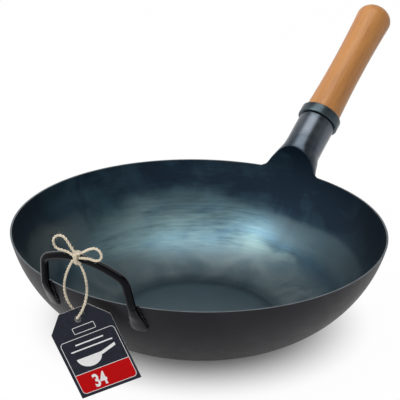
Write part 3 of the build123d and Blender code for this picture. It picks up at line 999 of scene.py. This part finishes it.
def loop_line(loop):
    """Centre line of the rod in its own plane, from one foot to the other."""
    bow_radius = (loop.corner_half**2 + loop.bow**2) / (2 * loop.bow)
    bow_up = loop.leg + loop.bow - bow_radius
    foot = Vector((loop.foot_half, 0))
    corner = Vector((loop.corner_half, loop.leg))
    run = (corner - foot).normalized()
    inward = Vector((-run.y, run.x))
    start = foot + inward * loop.corner_round
    centre = Vector((0, bow_up))
    reach = bow_radius - loop.corner_round
    offset = start - centre
    half = offset.dot(run)
    along = -half + math.sqrt(half**2 - offset.length_squared + reach**2)
    middle = start + run * along
    leg_end = middle - inward * loop.corner_round
    bow_end = centre + (middle - centre) * (bow_radius / reach)
    first = math.atan2(leg_end.y - middle.y, leg_end.x - middle.x)
    last = math.atan2(bow_end.y - middle.y, bow_end.x - middle.x)
    right_side = [foot + (leg_end - foot) * step / 6 for step in range(6)]
    for step in range(13):
        turn = first + (last - first) * step / 12
        right_side.append(middle + loop.corner_round * Vector((math.cos(turn), math.sin(turn))))
    sweep_start = math.atan2(bow_end.y - bow_up, bow_end.x)
    for step in range(1, 25):
        turn = sweep_start + (math.pi / 2 - sweep_start) * step / 24
        right_side.append(centre + bow_radius * Vector((math.cos(turn), math.sin(turn))))
    left_side = [Vector((-point.x, point.y)) for point in reversed(right_side[:-1])]
    return right_side + left_side


ROD_SIDES = 32
PADDLE_SPLAY = 0.13
PADDLE_STEPS = 28
# Along a hammered end: shares of its length, half width and half thickness
PADDLE_SHARES = ((0.26, 0.70, 1.95), (0.55, 0.92, 1.35), (0.80, 1.0, 1.05), (1.0, 0.86, 0.85))


def paddle_rings(loop, side, foot):
    """Rings from the rod's round foot to the end of its flat paddle on the wall."""
    _, along, normal, _ = wall_place(side, 0, 0)
    sections = [(*foot, *along, *normal, loop.rod_radius, loop.rod_radius)]
    for station, wide, thick in PADDLE_SHARES:
        half_thick = loop.paddle_half_thickness * thick
        lift = half_thick + 0.1 * MM
        place, along, normal, _ = wall_place(side, loop.paddle_length * station, lift)
        sections.append((*place, *along, *normal, loop.paddle_half_width * wide, half_thick))
    rings = []
    for step in range(PADDLE_STEPS + 1):
        row = smooth_through(sections, step / PADDLE_STEPS)
        centre, along, normal = (Vector(row[start:start + 3]) for start in (0, 3, 6))
        axes = along.normalized(), normal.normalized()
        rings.append(ellipse_ring(centre, *axes, row[9], row[10], ROD_SIDES))
    last = rings[-1]
    centre = sum(last, Vector()) / ROD_SIDES
    down = wall_place(side, loop.paddle_length, 0)[3]
    for share, drop in ((0.9, 0.5), (0.7, 0.85), (0.4, 1.0)):
        rings.append([centre + (point - centre) * share + down * drop * MM for point in last])
    return rings


def ellipse_ring(centre, along, normal, wide, tall, count, shift=0):
    """Points of an ellipse; a shift of 0.5 starts it half a step on."""
    spins = [math.tau * (step + shift) / count for step in range(count)]
    return [
        centre + along * wide * math.cos(spin) + normal * tall * math.sin(spin) for spin in spins
    ]


class WOK_OT_loop(bpy.types.Operator):
    """Bend the rod loop and hammer its ends flat"""

    bl_idname = "wok.loop"
    bl_label = "Rod loop"

    def execute(self, context):
        loop = sizes("wok_loop")
        radius = loop.rod_radius
        origin, across, up = loop_frame()
        line = [origin + across * point.x + up * point.y for point in loop_line(loop)]
        flat = across.cross(up)
        rod = []
        for before, point, after in zip([line[0], *line], line, [*line[1:], line[-1]]):
            side = (after - before).normalized().cross(flat)
            rod.append(ellipse_ring(point, side, flat, radius, radius, ROD_SIDES))
        piece = solid("loop_rod", *skin(rod))
        for side, foot in ((1, line[0]), (-1, line[-1])):
            paddle = solid("paddle", *skin(paddle_rings(loop, side, foot)))
            combined(piece, paddle, "UNION")
        piece.data.shade_smooth()
        piece.data.set_sharp_from_angle(angle=math.radians(50))
        dress(piece, "wok", "rod_steel", "helper_handle", rod_finish())
        return {"FINISHED"}


# Corner of the card in the wok's frame, in millimetres, and boxes of its print, on its face
CARD_CORNER = (-185.3, -2.3, 0.5)
LABEL_BOX = metres(19.5, 53.6), metres(40.3, 59.5)
BAR_BOXES = (metres(15.7, 44.3), metres(42.6, 45.4)), (metres(9.3, 39.5), metres(49.0, 40.6))
FIGURE_BOX = metres(11.0, 23.8), metres(49.0, 36.4)
NUMBER_BOX = metres(16.6, 5.0), metres(28.8, 16.8)


def card_frame():
    """Corner of the card's back and its directions along, up and out of its face."""
    card = sizes("wok_tag")
    along = level(card.heading)
    rise = UP.cross(along) * math.sin(card.lean) + UP * math.cos(card.lean)
    base = along * math.cos(card.tilt) + rise * math.sin(card.tilt)
    face = along.cross(rise)
    return Vector(CARD_CORNER) * MM, base, face.cross(base), face


def card_point(across, up, out):
    """Point of the card from its lower corner, all in metres."""
    corner, base, rise, face = card_frame()
    return corner + base * across + rise * up + face * out


def plates(name, shapes, low, high):
    """Flat plates on the card, as one piece; each shape is an outline and the holes in it."""
    work = bmesh.new()
    for shape in shapes:
        edges = []
        for ring in shape:
            points = [work.verts.new(card_point(x, y, low)) for x, y in ring]
            edges += [work.edges.new(pair) for pair in zip(points, [*points[1:], points[0]])]
        bmesh.ops.triangle_fill(work, use_beauty=True, use_dissolve=False, edges=edges)
    made = bmesh.ops.extrude_face_region(work, geom=work.faces[:])
    raised = [part for part in made["geom"] if isinstance(part, bmesh.types.BMVert)]
    bmesh.ops.translate(work, verts=raised, vec=card_frame()[3] * (high - low))
    bmesh.ops.recalc_face_normals(work, faces=work.faces)
    mesh = bpy.data.meshes.new(name)
    work.to_mesh(mesh)
    work.free()
    return linked(name, mesh)


def rounded(low, high, radius, steps=8):
    """Rectangle with round corners, from its lower to its upper corner."""
    left, right = low[0] + radius, high[0] - radius
    foot, head = low[1] + radius, high[1] - radius
    corners = (((right, foot), -90), ((right, head), 0), ((left, head), 90), ((left, foot), 180))
    arcs = [arc_points(centre, radius, first, first + 90, steps) for centre, first in corners]
    return [point for arc in arcs for point in arc]


def outlined(low, high, radius, line):
    """Line round a rectangle with round corners: its outline and the hole in it."""
    inner = [value + line for value in low], [value - line for value in high]
    return rounded(low, high, radius), rounded(*inner, radius - line)


def pan_figure(low, high):
    """Plain little pan, seen from the side: a round belly and a straight handle."""
    wide, tall = high[0] - low[0], high[1] - low[1]
    belly = wide * 0.31
    middle, brim = low[0] + belly, low[1] + tall * 0.72
    outline = []
    for step in range(25):
        turn = math.pi + math.pi * step / 24
        outline.append((middle + belly * math.cos(turn), brim + (brim - low[1]) * math.sin(turn)))
    near, far = (middle + belly * 0.98, brim - tall * 0.22), (high[0], high[1] - tall * 0.2)
    return (outline,), ([near, far, high, (middle + belly, brim)],)


class WOK_OT_card(bpy.types.Operator):
    """Cut the card and print its plain frame, red field and number"""

    bl_idname = "wok.card"
    bl_label = "Card"

    def execute(self, context):
        card = sizes("wok_tag")
        hue = sizes("wok_colours")
        wide, tall, cut = card.width, card.height, card.corner
        outline = [
            (0, 0), (wide, 0), (wide, tall - cut), (wide - cut, tall), (cut, tall), (0, tall - cut),
        ]
        hole = arc_points((wide / 2, tall - card.hole_inset), card.hole, 0, 352.5, 47)
        board = plates("card_board", [(outline, hole)], 0, card.thickness)
        soft_edge = board.modifiers.new("soft edge", "BEVEL")
        soft_edge.width = 0.15 * MM
        soft_edge.segments = 2
        soft_edge.limit_method = "ANGLE"
        core = paint_finish("card_core", hue.card_core)
        dress(board, "hang_tag", "card", "tag_card", card_finish(), core)
        out = card_frame()[3]
        for face in board.data.polygons:
            face.material_index = int(abs(face.normal.dot(out)) < 0.5)

        white = paint_finish("print_white", hue.print_white)
        red = paint_finish("print_red", hue.print_red)
        face, ink = card.thickness, card.thickness + 0.04 * MM
        line, round_off, divide = metres(0.45, 3.6, 20.0)
        low, high = metres(2.9, 2.7), (wide - 1.9 * MM, 50.5 * MM)
        left, right, inner_round = low[0] + line, high[0] - line, round_off - line
        lower = low[1] + line + inner_round
        field = [
            (left, divide), *arc_points((left + inner_round, lower), inner_round, 180, 270, 8),
            *arc_points((right - inner_round, lower), inner_round, -90, 0, 8), (right, divide),
        ]
        dress(plates("print_field", [(field,)], face, ink), "hang_tag", "card", None, red)

        rule = [(left, divide), (right, divide), (right, divide + line), (left, divide + line)]
        shapes = [
            outlined(low, high, round_off, line), outlined(*LABEL_BOX, 0.9 * MM, line), (rule,),
            *[(rounded(*box, 0.5 * MM),) for box in BAR_BOXES], *pan_figure(*FIGURE_BOX),
        ]
        dress(plates("print_lines", shapes, face, ink), "hang_tag", "card", None, white)
        dress(number_piece("34", *NUMBER_BOX, ink), "hang_tag", "card", None, white)
        return {"FINISHED"}


def number_piece(digits, low, high, out):
    """Printed number that fills a rectangle of the card, as a thin mesh."""
    words = bpy.data.curves.new("number", "FONT")
    words.body = digits
    words.extrude = 0.02 * MM
    words.offset = 0.03
    holder = linked("number", words)
    mesh = plain_mesh(holder)
    bpy.data.objects.remove(holder)
    joined = bmesh.new()
    joined.from_mesh(mesh)
    bmesh.ops.remove_doubles(joined, verts=joined.verts, dist=0.01 * MM)
    joined.to_mesh(mesh)
    joined.free()
    starts, scale = [], []
    for axis in (0, 1):
        span = [vertex.co[axis] for vertex in mesh.vertices]
        starts.append(-min(span))
        scale.append((high[axis] - low[axis]) / (max(span) - min(span)))
    corner = Matrix.Translation((*starts, 0))
    place = facing(card_point(*low, out), *card_frame()[1:])
    mesh.transform(place @ Matrix.Diagonal((*scale, 1, 1)) @ corner)
    return linked("print_number", mesh)


def card_finish():
    """Dark printed board: matt, with a faint mottle."""
    hue = sizes("wok_colours")
    finish = Finish("dark_card", specular_ior_level=0.15)
    mottle = finish.noise(finish.place, 220.0, 4.0, 0.6)
    share = mottle.between(0.35, 0.75)
    finish.set("Base Color", finish.blend(share, hue.card, shade(hue.card, 1.5)))
    finish.set("Roughness", mottle * 0.2 + 0.5)
    finish.grain(1500.0, 0.1, depth=0.0001)
    return finish.material


def paint_finish(name, tint):
    """Printing ink on card, or the card's pale core."""
    finish = Finish(name, roughness=0.6, specular_ior_level=0.08)
    share = finish.noise(finish.place, 400.0, 3.0, 0.6).between(0.3, 0.8) * 0.25
    finish.set("Base Color", finish.blend(share, tint, shade(tint, 0.8)))
    return finish.material


def smooth_line(route, name):
    """Points of the smooth line that a route controls, read from its own spline."""
    shape = bpy.data.curves.new(name, "CURVE")
    shape.dimensions = "3D"
    shape.resolution_u = 12
    spline = shape.splines.new("NURBS")
    spline.points.add(len(route) - 1)
    for point, place in zip(spline.points, route):
        point.co = (*(Vector(place) * MM), 1.0)
    spline.order_u = 3
    spline.use_endpoint_u = True
    holder = linked(name, shape)
    mesh = plain_mesh(holder)
    points = [vertex.co.copy() for vertex in mesh.vertices]
    bpy.data.objects.remove(holder)
    bpy.data.meshes.remove(mesh)
    return points


def lay_recipe():
    """Twine: plies of uneven thickness, wound round each other along a line."""
    recipe = Recipe("twine_lay", ("Radius", "Pitch", "Step"), Plies="Int")
    radius, number = recipe["Radius"], recipe["Plies"]
    line = recipe.line(recipe["Step"])
    settings = {"domain": "SPLINE"}
    plies = recipe.node("GeometryNodeDuplicateElements", settings, line, amount=number)
    walked = Value(recipe, recipe.node("GeometryNodeSplineParameter", {}).outputs["Length"])
    turns = walked / recipe["Pitch"] + Value(recipe, plies.outputs[1]) / number
    spin = turns * math.tau
    normal = recipe.node("GeometryNodeInputNormal", {})
    ahead = recipe.node("GeometryNodeInputTangent", {})
    beside = recipe.vectors("CROSS_PRODUCT", ahead, normal)
    offset = radius * 0.48
    out = recipe.vectors("SCALE", normal, scale=spin.math("COSINE") * offset)
    side = recipe.vectors("SCALE", beside, scale=spin.math("SINE") * offset)
    shift = recipe.vectors("ADD", out, side)
    wound = recipe.node("GeometryNodeSetPosition", {}, plies, offset=shift)
    place = recipe.node("GeometryNodeInputPosition", {})
    uneven = recipe.noise(place, 260.0) * 0.7 + 0.68
    swollen = recipe.node("GeometryNodeSetCurveRadius", {}, wound, radius=uneven)
    shape = {"resolution": 8, "radius": radius * 0.55}
    section = recipe.node("GeometryNodeCurvePrimitiveCircle", {"mode": "RADIUS"}, **shape)
    ends = {"profile_curve": section, "fill_caps": True}
    return recipe.close(recipe.node("GeometryNodeCurveToMesh", {}, swollen, **ends))


def fibre_recipe():
    """Stray fibres: thin bent cones that lie out from a line at chance angles."""
    recipe = Recipe("stray_fibres", ("Fibre Length", "Fibre Radius", "Spacing"), Seed="Int")
    spacing, thick, long = recipe["Spacing"], recipe["Fibre Radius"], recipe["Fibre Length"]
    line = recipe.line(spacing)
    spots = recipe.node("GeometryNodeCurveToPoints", {"mode": "LENGTH"}, line, length=spacing)
    cone = recipe.node(
        "GeometryNodeMeshCone", {}, vertices=3, side_segments=5,
        radius_top=thick * 0.3, radius_bottom=thick, depth=long,
    )
    up = recipe.axes(recipe.node("GeometryNodeInputPosition", {}))[2]
    bend = recipe.vector(up * up / long * 0.45, 0.0, 0.0)
    fibre = recipe.node("GeometryNodeSetPosition", {}, cone, offset=bend)
    seed = recipe["Seed"]
    lean = recipe.chance((0.55, -0.4, 0.0), (1.25, 0.4, math.tau), seed, "FLOAT_VECTOR")
    start = spots.outputs["Rotation"]
    turn = recipe.node("FunctionNodeRotateRotation", {"rotation_space": "LOCAL"}, start, lean)
    size = recipe.chance(0.25, 1.0, seed + 1)
    return recipe.close(recipe.node(
        "GeometryNodeInstanceOnPoints", {}, spots, instance=fibre, rotation=turn, scale=size
    ))


def puddle_recipe():
    """Weld bead: round puddles, overlapping along a line and flattened on to the steel."""
    recipe = Recipe("weld_puddles", ("Step", "Radius"), Facing="Vector", Seed="Int")
    ball = recipe.node("GeometryNodeMeshIcoSphere", {}, radius=recipe["Radius"], subdivisions=3)
    flat = recipe.node("GeometryNodeTransform", {}, ball, scale=(1.0, 1.0, 0.72))
    turn = recipe.node("FunctionNodeAlignRotationToVector", {"axis": "Z"}, vector=recipe["Facing"])
    line = recipe.line(recipe["Step"])
    size = recipe.chance(0.72, 1.2, recipe["Seed"])
    return recipe.close(recipe.node(
        "GeometryNodeInstanceOnPoints", {}, line, instance=flat, rotation=turn, scale=size
    ))


def twine_finish():
    """Jute: straw-coloured fibre with darker flecks."""
    hue = sizes("wok_colours")
    finish = Finish("jute", roughness=0.85, sheen_weight=0.3)
    fleck = finish.noise(finish.place, 900.0, 4.0, 0.65)
    broad = finish.noise(finish.place, 120.0, 2.0, 0.5)
    share = (fleck * 0.6 + broad * 0.4).between(0.30, 0.62)
    finish.set("Base Color", finish.blend(share, shade(hue.twine, 0.6), hue.twine))
    finish.grain(2500.0, 0.4, detail=3.0, roughness=0.6, depth=0.0003)
    return finish.material


class WOK_OT_twine(bpy.types.Operator):
    """Lay the twine: the hanger through the card, the knot on the rod and its two bows"""

    bl_idname = "wok.twine"
    bl_label = "Twine"

    def execute(self, context):
        tag = sizes("wok_tag")
        radius = tag.twine_radius
        finish = twine_finish()
        lay = lay_recipe()
        values = {"Radius": radius, "Pitch": tag.pitch, "Step": 0.5 * MM, "Plies": 2}
        knot = lay.make("twine_knot_jute", self.knot_lines(radius), values, finish)
        dress(knot, "hang_tag", "twine", "twine_knot", finish)
        lines = []
        for name, route in TWINE_ROUTES.items():
            points = smooth_line(route, name)
            lines.append(points)
            piece = lay.make(name + "_jute", [points], values, finish)
            dress(piece, "hang_tag", "twine", name, finish)
        stray = {
            "Fibre Length": 4.5 * MM, "Fibre Radius": 0.13 * MM, "Spacing": 1.4 * MM, "Seed": 4
        }
        fibres = fibre_recipe().make("twine_fibres", lines, stray, finish)
        dress(fibres, "hang_tag", "twine", None, finish)
        return {"FINISHED"}

    def knot_lines(self, radius):
        """Two turns round the rod, and a wrap across the bows' feet."""
        seat, line = Vector(KNOT_SEAT) * MM, Vector(ROD_DIRECTION)
        out = Vector((-1, 0, 0))
        out = (out - line * out.dot(line)).normalized()
        up = out.cross(line)
        reach = sizes("wok_loop").rod_radius + 0.3 * MM + radius
        round_rod, wrap = [], []
        for step in range(73):
            spin = math.tau * KNOT_TURNS * step / 72 - 0.6
            slide = (step / 72 - 0.5) * 2 * radius * KNOT_SPREAD
            round_rod.append(
                seat + out * reach * math.cos(spin) + up * reach * math.sin(spin) + line * slide
            )
        lump = seat + Vector(KNOT_LUMP) * MM
        for step in range(61):
            spin = math.tau * KNOT_TURNS * step / 60
            slide = (step / 60 - 0.5) * 2 * radius * WRAP_SPREAD
            across = Vector((math.cos(spin) * WRAP_DEPTH, 0, math.sin(spin) * WRAP_HEIGHT)) * MM
            wrap.append(lump + across + line * slide)
        return [round_rod, wrap]


class WOK_OT_welds(bpy.types.Operator):
    """Lay the weld beads of the rod loop and the seam, and finish the plug's weld"""

    bl_idname = "wok.welds"
    bl_label = "Welds"

    def execute(self, context):
        finish = steel_finish("weld_bead", sizes("wok_colours").weld, 0.18, 500.0, 0.6)
        recipe = puddle_recipe()
        loop = sizes("wok_loop")
        for side, name in ((1, "helper_weld_left"), (-1, "helper_weld_right")):
            lines = [self.paddle_edge(side, edge, loop) for edge in (-1, 1)]
            off = wall_place(side, loop.paddle_length / 2, 0)[2]
            values = {"Step": 2.6 * MM, "Radius": 2.15 * MM, "Facing": off, "Seed": 7 + side}
            beads = recipe.make(name + "_beads", lines, values, finish)
            dress(beads, "wok", "weld_metal", name, finish)

        pan = sizes("wok_pan")
        root, run, up = handle_frame()
        ends = [
            root + run * station - up * (pan.tube_radius - 0.1 * MM)
            for station in (pan.seam_start + 2.6 * MM, pan.tube_length - 2.6 * MM)
        ]
        values = {"Step": 1.4 * MM, "Radius": 1.6 * MM, "Facing": -up, "Seed": 3}
        seam = recipe.make("seam_weld_beads", [ends], values, finish)
        dress(seam, "wok", "weld_metal", "seam_weld", finish)
        paint(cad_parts["plug_weld"], finish)
        return {"FINISHED"}

    def paddle_edge(self, side, edge, loop):
        """Line of the weld along one edge of a hammered end, from the rim down."""
        widths = [(0.0, loop.rod_radius)]
        for station, wide, _ in PADDLE_SHARES:
            widths.append((station * loop.paddle_length, wide * loop.paddle_half_width))
        points = []
        for step in range(19):
            distance, half = smooth_through(widths, 0.04 + 0.96 * step / 18)
            place, along, _, _ = wall_place(side, distance, 0.2 * MM)
            points.append(place + along * edge * (half - 0.5 * MM))
        return points


class WOK_PT_panel(bpy.types.Panel):
    """Lists the wok's sizes, colours and steps"""

    bl_label = "Wok"
    bl_idname = "WOK_PT_panel"
    bl_space_type = "VIEW_3D"
    bl_region_type = "UI"
    bl_category = "Wok"

    def draw(self, context):
        for group in GROUPS:
            column = self.layout.column(align=True)
            values = getattr(context.scene, group)
            for key in values.__annotations__:
                column.prop(values, key)
        for operator in OPERATORS:
            self.layout.operator(operator.bl_idname)


GROUPS = {
    "wok_pan": WokPanSizes,
    "wok_grip": WokGripSizes,
    "wok_loop": WokLoopSizes,
    "wok_tag": WokTagSizes,
    "wok_colours": WokColours,
}
OPERATORS = (
    WOK_OT_stage,
    WOK_OT_twine,
    WOK_OT_card,
    WOK_OT_pan,
    WOK_OT_grip,
    WOK_OT_loop,
    WOK_OT_welds,
)


def register():
    for name, group in GROUPS.items():
        bpy.utils.register_class(group)
        setattr(bpy.types.Scene, name, bpy.props.PointerProperty(type=group))
    for operator in OPERATORS:
        bpy.utils.register_class(operator)
    bpy.utils.register_class(WOK_PT_panel)


def unregister():
    bpy.utils.unregister_class(WOK_PT_panel)
    for operator in reversed(OPERATORS):
        bpy.utils.unregister_class(operator)
    for name, group in GROUPS.items():
        delattr(bpy.types.Scene, name)
        bpy.utils.unregister_class(group)


def main():
    register()
    bpy.ops.wok.stage()
    bpy.ops.wok.card()
    bpy.ops.wok.twine()
    bpy.ops.wok.pan()
    bpy.ops.wok.grip()
    bpy.ops.wok.loop()
    bpy.ops.wok.welds()


if __name__ == "__main__":
    main()
